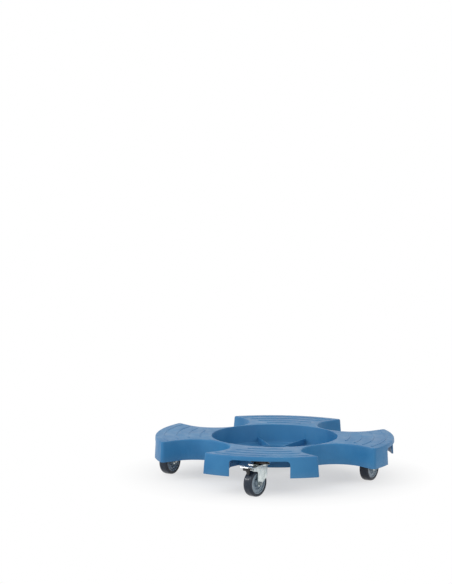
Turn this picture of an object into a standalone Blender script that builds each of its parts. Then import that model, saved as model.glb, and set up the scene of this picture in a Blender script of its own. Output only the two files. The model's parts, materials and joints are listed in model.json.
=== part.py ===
"""Round tyre trolley: a moulded four-lobed deck on four swivel casters, two of them braked.

Metres, +Z up. The origin is on the floor below the deck's middle. The lobes lie along -Y
(front), +X (right), +Y (back) and -X (left).
"""

from math import asin, cos, degrees, pi, radians, sin, sqrt, tan

import bmesh
import bpy
from mathutils import Matrix, Vector

# Deck
DECK_RADIUS = 0.3410
DECK_TOP = 0.1145
SKIRT_BOTTOM = 0.057
WALL = 0.0045
DRAFT = 0.0028  # how far the outer wall leans in over its height
EDGE_ROUND = 0.0035
LOBE_ARC_STEPS = 8
NOTCH_HALF_WIDTH = 0.0930
NOTCH_LEAN = 0.0040  # the same for the notches' side walls
NOTCH_DEPTH_RADIUS = 0.188
NOTCH_CORNER = 0.087
MOUTH_CORNER = 0.010
ARCH_HALF_WIDTH = 0.0843
ARCH_TOP = 0.1032
ARCH_CORNER = 0.011
WELL_RING_RADIUS = 0.1845
WELL_TOP_RADIUS = 0.1785
WELL_DRAFT = 0.0020
WELL_STEPS = 48
WELL_RIB_HEIGHT = 0.016
WELL_RIB_COUNT = 8
WELL_HUB_RADIUS = 0.046
DRAIN_RADIUS = 0.008
DRAIN_CIRCLE = 0.110
GRIP_RADII = (0.212, 0.246, 0.280, 0.314)
GRIP_HEIGHT = 0.0010
GRIP_WIDTH = 0.0044
GRIP_MARGIN = 0.014
WEB_THICKNESS = 0.004
CORNER_WEB = ((-0.1003, -0.1999), (-0.0790, -0.1630))  # from the notch's wall to the well's ring
CORNER_WEB_LEAN = 0.0084
CORNER_WEB_FOOT = 0.0008  # above the rim

# Casters. In a caster's own frame +X is the way it trails and +Y is along its axle.
CASTER_CIRCLE = 0.2833
LOBES = {"front": 0, "right": 90, "back": 180, "left": 270}
TRAIL_AZIMUTH = {"front": -30.7, "right": -22.2, "back": 149.3, "left": -25.7}
BRAKED = ("front", "back")
TRAIL = 0.0292
WHEEL_RADIUS = 0.0375
WHEEL_STEPS = 30  # a flat of this polygon meets the floor
TREAD_HALF_WIDTH = 0.0135
CORE_RADIUS = 0.0292
CORE_HALF_WIDTH = 0.0122
HUB_RADIUS = 0.0098
HUB_HALF_LENGTH = 0.0140
BUSH_RADIUS = 0.0060
AXLE_RADIUS = 0.0030
NUT_ACROSS_FLATS = 0.0100  # the bolt's head has the same
NUT_HEIGHT = 0.0045
BOLT_HEAD_HEIGHT = 0.0036
BOLT_END = 0.0058  # past the fork's side
PLATE_SIDE = 0.060
PLATE_THICKNESS = 0.0025
PLATE_TOP = 0.100
SCREW_OFFSET = 0.0235
SCREW_RADIUS = 0.0024
SCREW_HOLE_RADIUS = 0.0028
SCREW_HEAD_RADIUS = 0.0046
SCREW_HEAD_HEIGHT = 0.0032
SCREW_TOP = 0.1110
RACE_RADIUS = 0.0230
RACE_BOTTOM = 0.0883
FORK_HALF_WIDTH = 0.0170
FORK_BACK = -0.0150
SHEET = 0.0025
CROWN_TOP = 0.0880
CROWN_THICKNESS = 0.0027
CROWN_FRONT = 0.026
JOGGLE_DEPTH = 0.0009  # the legs step in by this much
JOGGLE_SPAN = (0.0074, 0.0104)
KING_PIN_RADIUS = 0.0050
KING_PIN_HEAD = 0.0080
GAP = 0.0003  # between neighbours that would touch
WELD = 0.00001  # points this close are made one after a Boolean

# Brake. Its frame is the caster's, moved to the pedal's pin.
PIN_X = 0.0592
PIN_Z = 0.0800
PIN_RADIUS = 0.0018
KNUCKLE_RADIUS = 0.0034
PEDAL_HALF_WIDTH = 0.0140
PEDAL_SHEET = 0.0018
TONGUE_HALF_WIDTH = 0.0080
SHOE_HALF_WIDTH = 0.0040
TAB_HALF_WIDTH = 0.0090

BLUE = (0.045, 0.155, 0.400)
ZINC = (0.62, 0.64, 0.65)
DARK_ZINC = (0.40, 0.42, 0.43)
TREAD_GREY = (0.045, 0.047, 0.052)
CORE_GREY = (0.34, 0.38, 0.41)
NYLON = (0.75, 0.75, 0.72)


def clear_scene():
    for obj in list(bpy.data.objects):
        bpy.data.objects.remove(obj, do_unlink=True)


def material(name, colour, roughness, metallic):
    made = bpy.data.materials.new(name)
    made.use_nodes = True
    shader = made.node_tree.nodes["Principled BSDF"]
    shader.inputs["Base Color"].default_value = (*colour, 1.0)
    shader.inputs["Roughness"].default_value = roughness
    shader.inputs["Metallic"].default_value = metallic
    return made


def new_collection(name):
    made = bpy.data.collections.new(name)
    bpy.context.scene.collection.children.link(made)
    return made


def frame_at(name, place, turn=(0, 0, 0), parent=None):
    """An empty that carries a group of pieces; turn is in degrees."""
    empty = bpy.data.objects.new(name, None)
    empty.location = place
    empty.rotation_euler = [radians(angle) for angle in turn]
    empty.parent = parent
    PARTS.objects.link(empty)
    return empty


def piece(name, mesh, parent, look, smooth=False):
    """One node: its own object, mesh and material."""
    data = mesh.copy()
    data.materials.clear()
    data.materials.append(material(name, *look))
    if smooth:
        data.shade_smooth()
    obj = bpy.data.objects.new(name, data)
    obj.parent = parent
    PARTS.objects.link(obj)
    return obj


def baked(obj):
    """The object's mesh with its modifiers applied; the object itself is removed."""
    graph = bpy.context.evaluated_depsgraph_get()
    mesh = bpy.data.meshes.new_from_object(obj.evaluated_get(graph))
    bpy.data.objects.remove(obj, do_unlink=True)
    return mesh


def helper(name, data):
    obj = bpy.data.objects.new(name, data)
    obj.hide_render = True
    obj.display_type = "WIRE"
    HELPERS.objects.link(obj)
    return obj


def moved(mesh, matrix):
    copy = mesh.copy()
    copy.transform(matrix)
    return copy


def joined(meshes):
    """Separate solids gathered in one mesh, for a single Boolean."""
    work = bmesh.new()
    for mesh in meshes:
        work.from_mesh(mesh)
    made = bpy.data.meshes.new("joined")
    work.to_mesh(made)
    work.free()
    return made


def combined(mesh, operation, other):
    target, tool = helper("target", mesh), helper("tool", other)
    modifier = target.modifiers.new("combine", "BOOLEAN")
    modifier.operation = operation
    modifier.solver = "EXACT"
    modifier.object = tool
    made = baked(target)
    bpy.data.objects.remove(tool, do_unlink=True)
    work = bmesh.new()
    work.from_mesh(made)
    bmesh.ops.remove_doubles(work, verts=work.verts, dist=WELD)
    bmesh.ops.dissolve_degenerate(work, edges=work.edges, dist=WELD)
    work.to_mesh(made)
    work.free()
    return made


def turned(profile, steps, ring=False):
    """A profile of (radius, height) points turned about Z, from its top down the outside."""
    work = bmesh.new()
    points = [work.verts.new((radius, 0, height)) for radius, height in profile]
    for a, b in zip(points, points[1:] + points[:1] if ring else points[1:]):
        work.edges.new((a, b))
    data = bpy.data.meshes.new("profile")
    work.to_mesh(data)
    work.free()
    obj = helper("turned", data)
    screw = obj.modifiers.new("turn", "SCREW")
    screw.steps = screw.render_steps = steps
    screw.use_merge_vertices = True
    screw.merge_threshold = 0.00001
    return baked(obj)


def flat(outlines, low, high):
    """A plate from closed outlines in XY; the first is its edge and the rest are holes."""
    curve = bpy.data.curves.new("outline", "CURVE")
    curve.dimensions = "2D"
    curve.fill_mode = "BOTH"
    curve.extrude = (high - low) / 2
    for outline in outlines:
        spline = curve.splines.new("POLY")
        spline.points.add(len(outline) - 1)
        for point, place in zip(spline.points, outline):
            point.co = (*place, 0, 1)
        spline.use_cyclic_u = True
    mesh = baked(helper("outline", curve))
    work = bmesh.new()
    work.from_mesh(mesh)
    bmesh.ops.translate(work, verts=work.verts, vec=(0, 0, (high + low) / 2))
    bmesh.ops.remove_doubles(work, verts=work.verts, dist=1e-6)
    bmesh.ops.recalc_face_normals(work, faces=work.faces)
    work.to_mesh(mesh)
    work.free()
    return mesh


def loft(rings):
    """A closed solid through rings of equal point counts, from the lowest up."""
    work = bmesh.new()
    layers = [[work.verts.new(point) for point in ring] for ring in rings]
    for below, above in zip(layers, layers[1:]):
        for i in range(len(below)):
            j = (i + 1) % len(below)
            work.faces.new((below[i], below[j], above[j], above[i]))
    caps = [work.faces.new(layers[0][::-1]), work.faces.new(layers[-1])]
    work.normal_update()
    bmesh.ops.triangulate(work, faces=caps)
    made = bpy.data.meshes.new("loft")
    work.to_mesh(made)
    work.free()
    return made


def circle(radius, steps, centre=(0, 0)):
    angles = [2 * pi * (i + 0.5) / steps for i in range(steps)]
    return [(centre[0] + radius * cos(a), centre[1] + radius * sin(a)) for a in angles]


def rounded(corners):
    """An outline from (x, y, radius, steps) corners, each rounded by an arc of that many steps."""
    points = []
    for i, (x, y, radius, steps) in enumerate(corners):
        corner = Vector((x, y))
        if not radius:
            points.append(tuple(corner))
            continue
        before = (Vector(corners[i - 1][:2]) - corner).normalized()
        after = (Vector(corners[(i + 1) % len(corners)][:2]) - corner).normalized()
        half = before.angle(after) / 2
        start = corner + before * (radius / tan(half))
        centre = corner + (before + after).normalized() * (radius / sin(half))
        turn = (pi - 2 * half) * (1 if before.cross(after) < 0 else -1)
        for step in range(steps + 1):
            arm = Matrix.Rotation(turn * step / steps, 2) @ (start - centre)
            points.append(tuple(centre + arm))
    return points


def rectangle(low, high, radius=0, steps=3):
    (x0, y0), (x1, y1) = low, high
    sides = ((x0, y0), (x1, y0), (x1, y1), (x0, y1))
    return rounded([(x, y, radius, steps) for x, y in sides])


def around(azimuth):
    """Turns -Y, where a lobe or caster is drawn, to the given azimuth."""
    return Matrix.Rotation(radians(azimuth), 4, "Z")


# ---------------------------------------------------------------- deck


def deck_outline(inset, notch_inset):
    """The plan of the deck: four lobes between four notches, each pulled in by its inset."""
    radius = DECK_RADIUS - inset
    width = NOTCH_HALF_WIDTH + notch_inset
    depth = NOTCH_DEPTH_RADIUS - inset
    mouth = sqrt(radius**2 - width**2)
    lobe_half = 45 - degrees(asin(width / radius))
    corners = []
    for lobe in range(4):
        notch = radians(lobe * 90 - 45)
        along, across = Vector((cos(notch), sin(notch))), Vector((-sin(notch), cos(notch)))
        for u, v, bend, steps in (
            (mouth, -width, MOUTH_CORNER - inset, 3),
            (depth, -width, NOTCH_CORNER + notch_inset, 6),
            (depth, width, NOTCH_CORNER + notch_inset, 6),
            (mouth, width, MOUTH_CORNER - inset, 3),
        ):
            corners.append((*(along * u + across * v), bend, steps))
        for step in range(1, LOBE_ARC_STEPS):
            angle = radians(lobe * 90 - lobe_half + 2 * lobe_half * step / LOBE_ARC_STEPS)
            corners.append((radius * cos(angle), radius * sin(angle), 0, 0))
    return rounded(corners)


def ring_at(inset, lean, height):
    """The outline at a height, where lean is the share of the full lean reached there."""
    return [
        (x, y, height) for x, y in deck_outline(inset + lean * DRAFT, inset + lean * NOTCH_LEAN)
    ]


def deck_shell():
    side_top = DECK_TOP - EDGE_ROUND
    rings = [ring_at(0, 0, SKIRT_BOTTOM)]
    for angle in (0, pi / 4, pi / 2):
        rings.append(ring_at(EDGE_ROUND * (1 - cos(angle)), 1, side_top + EDGE_ROUND * sin(angle)))
    under = 0.002
    lean_under = -under / (side_top - SKIRT_BOTTOM)
    hollow = [
        ring_at(WALL, lean_under, SKIRT_BOTTOM - under),
        ring_at(WALL, 1, DECK_TOP - WALL),
    ]
    return combined(loft(rings), "DIFFERENCE", loft(hollow))


def add_well(deck):
    """The dished middle: ring wall, floor, radial ribs and hub."""
    lid = DECK_TOP - WALL / 2
    floor = SKIRT_BOTTOM + WALL
    body = turned(
        [(0, lid), (WELL_RING_RADIUS, lid), (WELL_RING_RADIUS, SKIRT_BOTTOM), (0, SKIRT_BOTTOM)],
        WELL_STEPS,
    )
    deck = combined(deck, "UNION", body)
    lip, foot = 0.0012, 0.0040
    low_radius = WELL_TOP_RADIUS - WELL_DRAFT
    cut = turned(
        [
            (0, DECK_TOP + 0.01),
            (WELL_TOP_RADIUS + lip, DECK_TOP + 0.01),
            (WELL_TOP_RADIUS + lip, DECK_TOP),
            (WELL_TOP_RADIUS, DECK_TOP - lip),
            (low_radius, floor + foot),
            (low_radius - foot, floor),
            (0, floor),
        ],
        WELL_STEPS,
    )
    deck = combined(deck, "DIFFERENCE", cut)
    rib_top = floor + WELL_RIB_HEIGHT
    half = WEB_THICKNESS / 2
    rib = flat(
        [rectangle((WELL_HUB_RADIUS - half, -half), (WELL_TOP_RADIUS + half, half))],
        floor - half,
        rib_top,
    )
    turns = [360 / WELL_RIB_COUNT * (i + 0.5) for i in range(WELL_RIB_COUNT)]
    deck = combined(deck, "UNION", joined([moved(rib, around(turn)) for turn in turns]))
    hub = flat(
        [circle(WELL_HUB_RADIUS, 24), circle(WELL_HUB_RADIUS - WEB_THICKNESS, 24)],
        floor - half,
        rib_top + 0.001,
    )
    return combined(deck, "UNION", hub)


def corner_web(side):
    """A web across the narrow corner between the notch's wall and the well's ring."""
    start, end = (Vector((side * -x, y)) for x, y in CORNER_WEB)
    along = (end - start).normalized()
    across = Vector((-along.y, along.x)) * WEB_THICKNESS / 2
    corners = [start - across, end - across, end + across, start + across]
    web = flat([[tuple(corner) for corner in corners]], SKIRT_BOTTOM + CORNER_WEB_FOOT, DECK_TOP - WALL / 2)
    # the outer end leans with the notch's wall
    for vert in web.vertices:
        if vert.co.z > SKIRT_BOTTOM + WALL and (vert.co.xy - end).length > WEB_THICKNESS:
            vert.co.xy += along * CORNER_WEB_LEAN
    return web


def add_caster_seats(deck):
    """Under each lobe, a thick pad for the caster's plate and shallow webs round it."""
    under = DECK_TOP - WALL / 2
    pad_half, web = 0.036, WEB_THICKNESS / 2
    pad = flat(
        [rectangle((-pad_half, -CASTER_CIRCLE - pad_half), (pad_half, -CASTER_CIRCLE + pad_half))],
        PLATE_TOP + GAP,
        under,
    )
    web_low = PLATE_TOP - 0.003
    reach = CASTER_CIRCLE - sqrt(2) * (NOTCH_HALF_WIDTH + NOTCH_LEAN) - WALL / 2
    inner, outer = -WELL_RING_RADIUS + web, -DECK_RADIUS + WALL
    spans = [
        (-reach, -CASTER_CIRCLE - web, -pad_half + web, -CASTER_CIRCLE + web),
        (pad_half - web, -CASTER_CIRCLE - web, reach, -CASTER_CIRCLE + web),
    ]
    for side in (-0.028, 0.028):
        spans.append((side - web, -CASTER_CIRCLE + pad_half - web, side + web, inner + 0.003))
        spans.append((side - web, outer, side + web, -CASTER_CIRCLE - pad_half + web))
    webs = [flat([rectangle((x0, y0), (x1, y1))], web_low, under) for x0, y0, x1, y1 in spans]
    for part in (joined([pad]), joined(webs), joined([corner_web(-1), corner_web(1)])):
        copies = [moved(part, around(azimuth)) for azimuth in LOBES.values()]
        deck = combined(deck, "UNION", joined(copies))
    return deck


def grip_rib(radius):
    notch_half = NOTCH_HALF_WIDTH + NOTCH_LEAN
    half_angle = radians(45) - asin((notch_half + GRIP_MARGIN) / radius)
    steps = 6
    angles = [-pi / 2 - half_angle + 2 * half_angle * i / steps for i in range(steps + 1)]
    sides = []
    for edge, order in ((GRIP_WIDTH / 2, angles), (-GRIP_WIDTH / 2, angles[::-1])):
        sides += [((radius + edge) * cos(a), (radius + edge) * sin(a)) for a in order]
    return flat([sides], DECK_TOP - 0.001, DECK_TOP + GRIP_HEIGHT)


def arch_cutter():
    """The opening in the front skirt, drawn in XZ and swept through the wall."""
    outline = rounded(
        [
            (-ARCH_HALF_WIDTH, SKIRT_BOTTOM - 0.01, 0, 0),
            (ARCH_HALF_WIDTH, SKIRT_BOTTOM - 0.01, 0, 0),
            (ARCH_HALF_WIDTH, ARCH_TOP, ARCH_CORNER, 4),
            (-ARCH_HALF_WIDTH, ARCH_TOP, ARCH_CORNER, 4),
        ]
    )
    sweep = flat([outline], 0.3215, DECK_RADIUS + 0.01)
    return moved(sweep, Matrix.Rotation(pi / 2, 4, "X"))


def seat_holes():
    """Blind screw holes and the king pin's recess, for the front lobe."""
    made = []
    for x in (-SCREW_OFFSET, SCREW_OFFSET):
        for y in (-SCREW_OFFSET, SCREW_OFFSET):
            edge = circle(SCREW_HOLE_RADIUS, 8, (x, -CASTER_CIRCLE + y))
            made.append(flat([edge], PLATE_TOP - 0.005, SCREW_TOP + 0.0006))
    recess = circle(KING_PIN_RADIUS + 0.003, 12, (0, -CASTER_CIRCLE))
    made.append(flat([recess], PLATE_TOP - 0.005, PLATE_TOP + 0.004))
    return joined(made)


def build_deck():
    deck = add_caster_seats(add_well(deck_shell()))
    grips = joined([grip_rib(radius) for radius in GRIP_RADII])
    quarter_turns = [around(azimuth) for azimuth in LOBES.values()]
    deck = combined(deck, "UNION", joined([moved(grips, turn) for turn in quarter_turns]))
    arch = arch_cutter()
    deck = combined(deck, "DIFFERENCE", joined([moved(arch, turn) for turn in quarter_turns]))
    cuts = [moved(seat_holes(), turn) for turn in quarter_turns]
    floor_low, floor_high = SKIRT_BOTTOM - 0.002, SKIRT_BOTTOM + WALL + 0.002
    cuts.append(flat([circle(WELL_HUB_RADIUS * 0.6, 20)], floor_low, floor_high))
    for i in range(WELL_RIB_COUNT):
        angle = 2 * pi * i / WELL_RIB_COUNT
        centre = (DRAIN_CIRCLE * cos(angle), DRAIN_CIRCLE * sin(angle))
        cuts.append(flat([circle(DRAIN_RADIUS, 8, centre)], floor_low, floor_high))
    deck = combined(deck, "DIFFERENCE", joined(cuts))
    piece("deck", deck, None, (BLUE, 0.42, 0.0))


# ------------------------------------------------------------- casters


def plate_mesh():
    half = PLATE_SIDE / 2
    holes = [
        circle(SCREW_HOLE_RADIUS + 0.0002, 8, (x, y))
        for x in (-SCREW_OFFSET, SCREW_OFFSET)
        for y in (-SCREW_OFFSET, SCREW_OFFSET)
    ]
    edge = rectangle((-half, -half), (half, half), 0.006, 3)
    return flat(
        [edge, circle(KING_PIN_RADIUS + GAP, 12), *holes], PLATE_TOP - PLATE_THICKNESS, PLATE_TOP
    )


def race_mesh():
    top = PLATE_TOP - PLATE_THICKNESS - GAP
    return turned(
        [
            (KING_PIN_RADIUS + GAP, top),
            (RACE_RADIUS - 0.0015, top),
            (RACE_RADIUS, RACE_BOTTOM + 0.0015),
            (RACE_RADIUS - 0.002, RACE_BOTTOM),
            (KING_PIN_RADIUS + GAP, RACE_BOTTOM),
        ],
        20,
        ring=True,
    )


def king_pin_mesh():
    head_top = CROWN_TOP - CROWN_THICKNESS - GAP
    return turned(
        [
            (0, PLATE_TOP + 0.003),
            (KING_PIN_RADIUS, PLATE_TOP + 0.003),
            (KING_PIN_RADIUS, head_top),
            (KING_PIN_HEAD, head_top),
            (KING_PIN_HEAD - 0.0015, head_top - 0.0035),
            (0, head_top - 0.0035),
        ],
        12,
    )


def screw_mesh():
    head_top = PLATE_TOP - PLATE_THICKNESS - GAP
    return turned(
        [
            (0, SCREW_TOP),
            (SCREW_RADIUS, SCREW_TOP - 0.002),
            (SCREW_RADIUS, head_top),
            (SCREW_HEAD_RADIUS, head_top),
            (SCREW_HEAD_RADIUS - 0.0012, head_top - SCREW_HEAD_HEIGHT),
            (0, head_top - SCREW_HEAD_HEIGHT),
        ],
        8,
    )


def fork_side():
    """The fork leg seen from its side, as (x, z): a wing over the wheel, tapering to the axle."""
    tip = 0.0078
    return rounded(
        [
            (FORK_BACK, CROWN_TOP, 0.002, 2),
            (FORK_BACK, 0.0600, 0.006, 2),
            (TRAIL + 0.0018, WHEEL_RADIUS - tip, 0.003, 2),
            (TRAIL + tip, WHEEL_RADIUS - tip, 0.0045, 3),
            (TRAIL + tip + 0.0004, 0.0715, 0.004, 2),
            (0.0565, 0.0748, 0.0015, 1),
            (0.0635, 0.0782, 0.0015, 1),
            (0.0630, 0.0834, 0.0020, 2),
            (0.0240, CROWN_TOP, 0.008, 2),
        ]
    )


def fork_plan(back, half, bend, front):
    """The fork's plan: a bent back and two legs that step out by the joggle."""
    near, far = JOGGLE_SPAN
    inner = half - JOGGLE_DEPTH
    side = [(near, inner, 0, 0), (far, half, 0, 0), (front, half, 0, 0)]
    other = [(x, -y, 0, 0) for x, y, *_ in side]
    return rounded([(back, -inner, bend, 3), *other, *side[::-1], (back, inner, bend, 3)])


def fork_mesh():
    back, bend, front = FORK_BACK, -FORK_BACK, 0.07
    outer = fork_plan(back, FORK_HALF_WIDTH, bend, front)
    inside = FORK_HALF_WIDTH - SHEET
    inner = fork_plan(back + SHEET, inside, bend - SHEET, front + 0.01)
    side = moved(flat([fork_side()], -0.03, 0.03), Matrix.Rotation(pi / 2, 4, "X"))
    fork = combined(flat([outer], 0.02, CROWN_TOP + 0.01), "INTERSECT", side)
    crown_under = CROWN_TOP - CROWN_THICKNESS
    fork = combined(fork, "DIFFERENCE", flat([inner], 0, crown_under))
    roof_gap = rectangle((CROWN_FRONT, -inside), (front + 0.02, inside))
    fork = combined(fork, "DIFFERENCE", flat([roof_gap], crown_under - 0.01, CROWN_TOP + 0.02))
    wheel_room = TREAD_HALF_WIDTH + 0.0008
    rear = rectangle((-0.03, -wheel_room), (0.01, wheel_room))
    fork = combined(fork, "DIFFERENCE", flat([rear], 0, 0.066))
    disc = flat([circle(RACE_RADIUS, 20)], crown_under, CROWN_TOP - GAP / 10)
    fork = combined(fork, "UNION", disc)
    king_hole = flat([circle(KING_PIN_RADIUS + GAP, 12)], 0.08, 0.11)
    fork = combined(fork, "DIFFERENCE", king_hole)
    across = Matrix.Rotation(pi / 2, 4, "X")
    axle_hole = flat([circle(AXLE_RADIUS + GAP / 2, 12, (TRAIL, WHEEL_RADIUS))], -0.03, 0.03)
    return combined(fork, "DIFFERENCE", moved(axle_hole, across))


def braked_fork_mesh(fork):
    """The same fork with the pedal pin's holes."""
    across = Matrix.Rotation(pi / 2, 4, "X")
    hole = flat([circle(PIN_RADIUS + GAP / 2, 8, (PIN_X, PIN_Z))], -0.03, 0.03)
    return combined(fork, "DIFFERENCE", moved(hole, across))


def mirrored(profile):
    """A turned ring's profile closed by its own mirror image below z = 0."""
    return profile + [(radius, -height) for radius, height in profile[::-1]]


def tread_mesh():
    flat_radius = 1 / cos(pi / WHEEL_STEPS)  # the polygon's flats lie at the true radius
    half = TREAD_HALF_WIDTH
    profile = [
        (CORE_RADIUS + GAP, half - 0.0006),
        (0.0328, half),
        (0.0361, half - 0.0019),
        (WHEEL_RADIUS, half - 0.0060),
    ]
    return turned(mirrored([(r * flat_radius, z) for r, z in profile]), WHEEL_STEPS, ring=True)


def core_mesh():
    recess, face, groove = 0.0045, 0.0092, 0.0072
    return turned(
        mirrored(
            [
                (BUSH_RADIUS + GAP, HUB_HALF_LENGTH),
                (HUB_RADIUS, HUB_HALF_LENGTH),
                (HUB_RADIUS + 0.0012, recess),
                (0.0164, recess),
                (0.0178, face),
                (0.0246, face),
                (0.0254, groove),
                (0.0262, CORE_HALF_WIDTH),
                (CORE_RADIUS, CORE_HALF_WIDTH),
            ]
        ),
        WHEEL_STEPS,
        ring=True,
    )


def bush_mesh():
    end = FORK_HALF_WIDTH - SHEET - GAP
    return turned(mirrored([(AXLE_RADIUS + GAP, end), (BUSH_RADIUS, end)]), 12, ring=True)


def hexagon(across_flats):
    return circle(across_flats / sqrt(3), 6)


def bolt_mesh():
    head_inner = -FORK_HALF_WIDTH - GAP
    shank = flat([circle(AXLE_RADIUS, 12)], head_inner - 0.002, FORK_HALF_WIDTH + BOLT_END)
    head = flat([hexagon(NUT_ACROSS_FLATS)], head_inner - BOLT_HEAD_HEIGHT, head_inner)
    return combined(shank, "UNION", head)


def nut_mesh():
    inner = FORK_HALF_WIDTH + GAP
    return flat([hexagon(NUT_ACROSS_FLATS), circle(AXLE_RADIUS + GAP, 12)], inner, inner + NUT_HEIGHT)


def strip(path, thickness, half_width):
    """A bent sheet: the middle line of its side view in XZ, made thick and wide."""
    work = bmesh.new()
    line = [work.verts.new((x, -half_width, z)) for x, z in path]
    edges = [work.edges.new(pair) for pair in zip(line, line[1:])]
    swept = bmesh.ops.extrude_edge_only(work, edges=edges)
    fresh = [item for item in swept["geom"] if isinstance(item, bmesh.types.BMVert)]
    bmesh.ops.translate(work, verts=fresh, vec=(0, 2 * half_width, 0))
    data = bpy.data.meshes.new("strip")
    work.to_mesh(data)
    work.free()
    obj = helper("strip", data)
    solid = obj.modifiers.new("thickness", "SOLIDIFY")
    solid.thickness = thickness
    solid.offset = 0
    solid.use_even_offset = True
    made = baked(obj)
    work = bmesh.new()
    work.from_mesh(made)
    bmesh.ops.recalc_face_normals(work, faces=work.faces)
    work.to_mesh(made)
    work.free()
    return made


def knuckle(low, high):
    """A short tube round the pedal pin, from y = low to y = high."""
    bore = PIN_RADIUS + 0.0002
    tube = flat([circle(KNUCKLE_RADIUS, 12), circle(bore, 12)], low, high)
    return moved(tube, Matrix.Rotation(pi / 2, 4, "X"))


def bored(mesh):
    """The pin's bore cut through a strip that was joined to its knuckles."""
    bore = flat([circle(PIN_RADIUS + 0.0002, 12)], -0.02, 0.02)
    return combined(mesh, "DIFFERENCE", moved(bore, Matrix.Rotation(pi / 2, 4, "X")))


def pedal_mesh():
    """The brake lever: an upturned tongue, a dip over the pin, and a foot plate with a lip."""
    path = [
        (-0.0106, 0.0118),
        (-0.0098, 0.0080),
        (-0.0031, 0.0062),
        (0.0006, 0.0050),
        (0.0041, 0.0050),
        (0.0086, 0.0076),
        (0.0126, 0.0062),
        (0.0171, 0.0087),
        (0.0192, 0.0076),
        (0.0194, 0.0058),
    ]
    tongue, wide, neck = TONGUE_HALF_WIDTH, PEDAL_HALF_WIDTH, -0.0030
    outline = rounded(
        [
            (-0.0120, -tongue, 0, 0),
            (neck, -tongue, 0, 0),
            (neck, -wide, 0, 0),
            (0.0206, -wide, 0.0020, 3),
            (0.0206, wide, 0.0020, 3),
            (neck, wide, 0, 0),
            (neck, tongue, 0, 0),
            (-0.0120, tongue, 0, 0),
        ]
    )
    pedal = strip(path, PEDAL_SHEET, wide + 0.001)
    pedal = combined(pedal, "INTERSECT", flat([outline], -0.02, 0.02))
    for low, high in ((-0.0130, -0.0062), (0.0062, 0.0130)):
        ear = flat([rectangle((-0.0010, low + 0.0004), (0.0030, high - 0.0004))], 0.0010, 0.0051)
        pedal = combined(combined(pedal, "UNION", ear), "UNION", knuckle(-high, -low))
    return bored(pedal)


def shoe_mesh():
    """The brake shoe: a block under the foot plate, whose foot meets the tread."""
    across = Matrix.Rotation(pi / 2, 4, "X")
    half, tab = SHOE_HALF_WIDTH, TAB_HALF_WIDTH
    web = rounded(
        [
            (-0.0030, -0.0010, 0, 0),
            (-0.0031, -0.0137, 0.0008, 2),
            (0.0023, -0.0163, 0.0008, 2),
            (0.0034, -0.0100, 0.0040, 2),
            (0.0080, -0.0030, 0, 0),
            (0.0080, 0.0030, 0, 0),
            (0.0020, 0.0030, 0, 0),
        ]
    )
    low, high = -0.0038, 0.0048
    block = rounded(
        [(0.0070, high, 0, 0), (0.0070, low, 0.002, 3), (0.0130, low, 0.002, 3), (0.0130, high, 0, 0)]
    )
    shoe = moved(flat([web], -half, half), across)
    shoe = combined(shoe, "UNION", knuckle(-half - 0.0005, half + 0.0005))
    return bored(combined(shoe, "UNION", moved(flat([block], -tab, tab), across)))


def pin_mesh():
    end = FORK_HALF_WIDTH + 0.0012
    pin = flat([circle(PIN_RADIUS, 10)], -end, end)
    return moved(pin, Matrix.Rotation(pi / 2, 4, "X"))


def build_casters():
    plate, race, king_pin, screw = plate_mesh(), race_mesh(), king_pin_mesh(), screw_mesh()
    fork = fork_mesh()
    braked_fork = braked_fork_mesh(fork)
    tread, core, bush, bolt, nut = tread_mesh(), core_mesh(), bush_mesh(), bolt_mesh(), nut_mesh()
    pedal, shoe, pin = pedal_mesh(), shoe_mesh(), pin_mesh()
    steel, dark_steel = (ZINC, 0.32, 1.0), (DARK_ZINC, 0.40, 1.0)
    for side, lobe in LOBES.items():
        place = around(lobe) @ Vector((0, -CASTER_CIRCLE, 0))
        caster = f"{side}_caster"
        seat = frame_at(f"{caster}_seat", place, (0, 0, lobe))
        piece(f"{caster}_plate", plate, seat, steel)
        piece(f"{caster}_swivel_race", race, seat, steel, smooth=True)
        piece(f"{caster}_king_pin", king_pin, seat, dark_steel, smooth=True)
        spots = [(x, y) for x in (-SCREW_OFFSET, SCREW_OFFSET) for y in (-SCREW_OFFSET, SCREW_OFFSET)]
        for number, (x, y) in enumerate(spots, 1):
            fixing = piece(f"{caster}_screw_{number}", screw, seat, dark_steel, smooth=True)
            fixing.location = (x, y, 0)
        swivel = frame_at(f"{caster}_swivel", place, (0, 0, TRAIL_AZIMUTH[side] - 90))
        piece(f"{caster}_fork", braked_fork if side in BRAKED else fork, swivel, steel)
        axle = frame_at(f"{caster}_axle", (TRAIL, 0, WHEEL_RADIUS), (-90, 0, 0), swivel)
        piece(f"{caster}_tread", tread, axle, (TREAD_GREY, 0.55, 0.0), smooth=True)
        piece(f"{caster}_wheel_core", core, axle, (CORE_GREY, 0.45, 0.0), smooth=True)
        piece(f"{caster}_hub_bush", bush, axle, (NYLON, 0.5, 0.0), smooth=True)
        piece(f"{caster}_axle_bolt", bolt, axle, steel)
        piece(f"{caster}_axle_nut", nut, axle, steel)
        if side in BRAKED:
            hinge = frame_at(f"{side}_brake", (PIN_X, 0, PIN_Z), (0, 0, 0), swivel)
            piece(f"{side}_brake_pedal", pedal, hinge, steel)
            piece(f"{side}_brake_shoe", shoe, hinge, (TREAD_GREY, 0.55, 0.0))
            piece(f"{side}_brake_pin", pin, hinge, dark_steel)


clear_scene()
PARTS = new_collection("tyre_trolley")
HELPERS = new_collection("helpers")
HELPERS.hide_render = True
build_deck()
build_casters()
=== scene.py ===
import json
import math
import bpy
import bmesh
from mathutils import Matrix, Vector

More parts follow.
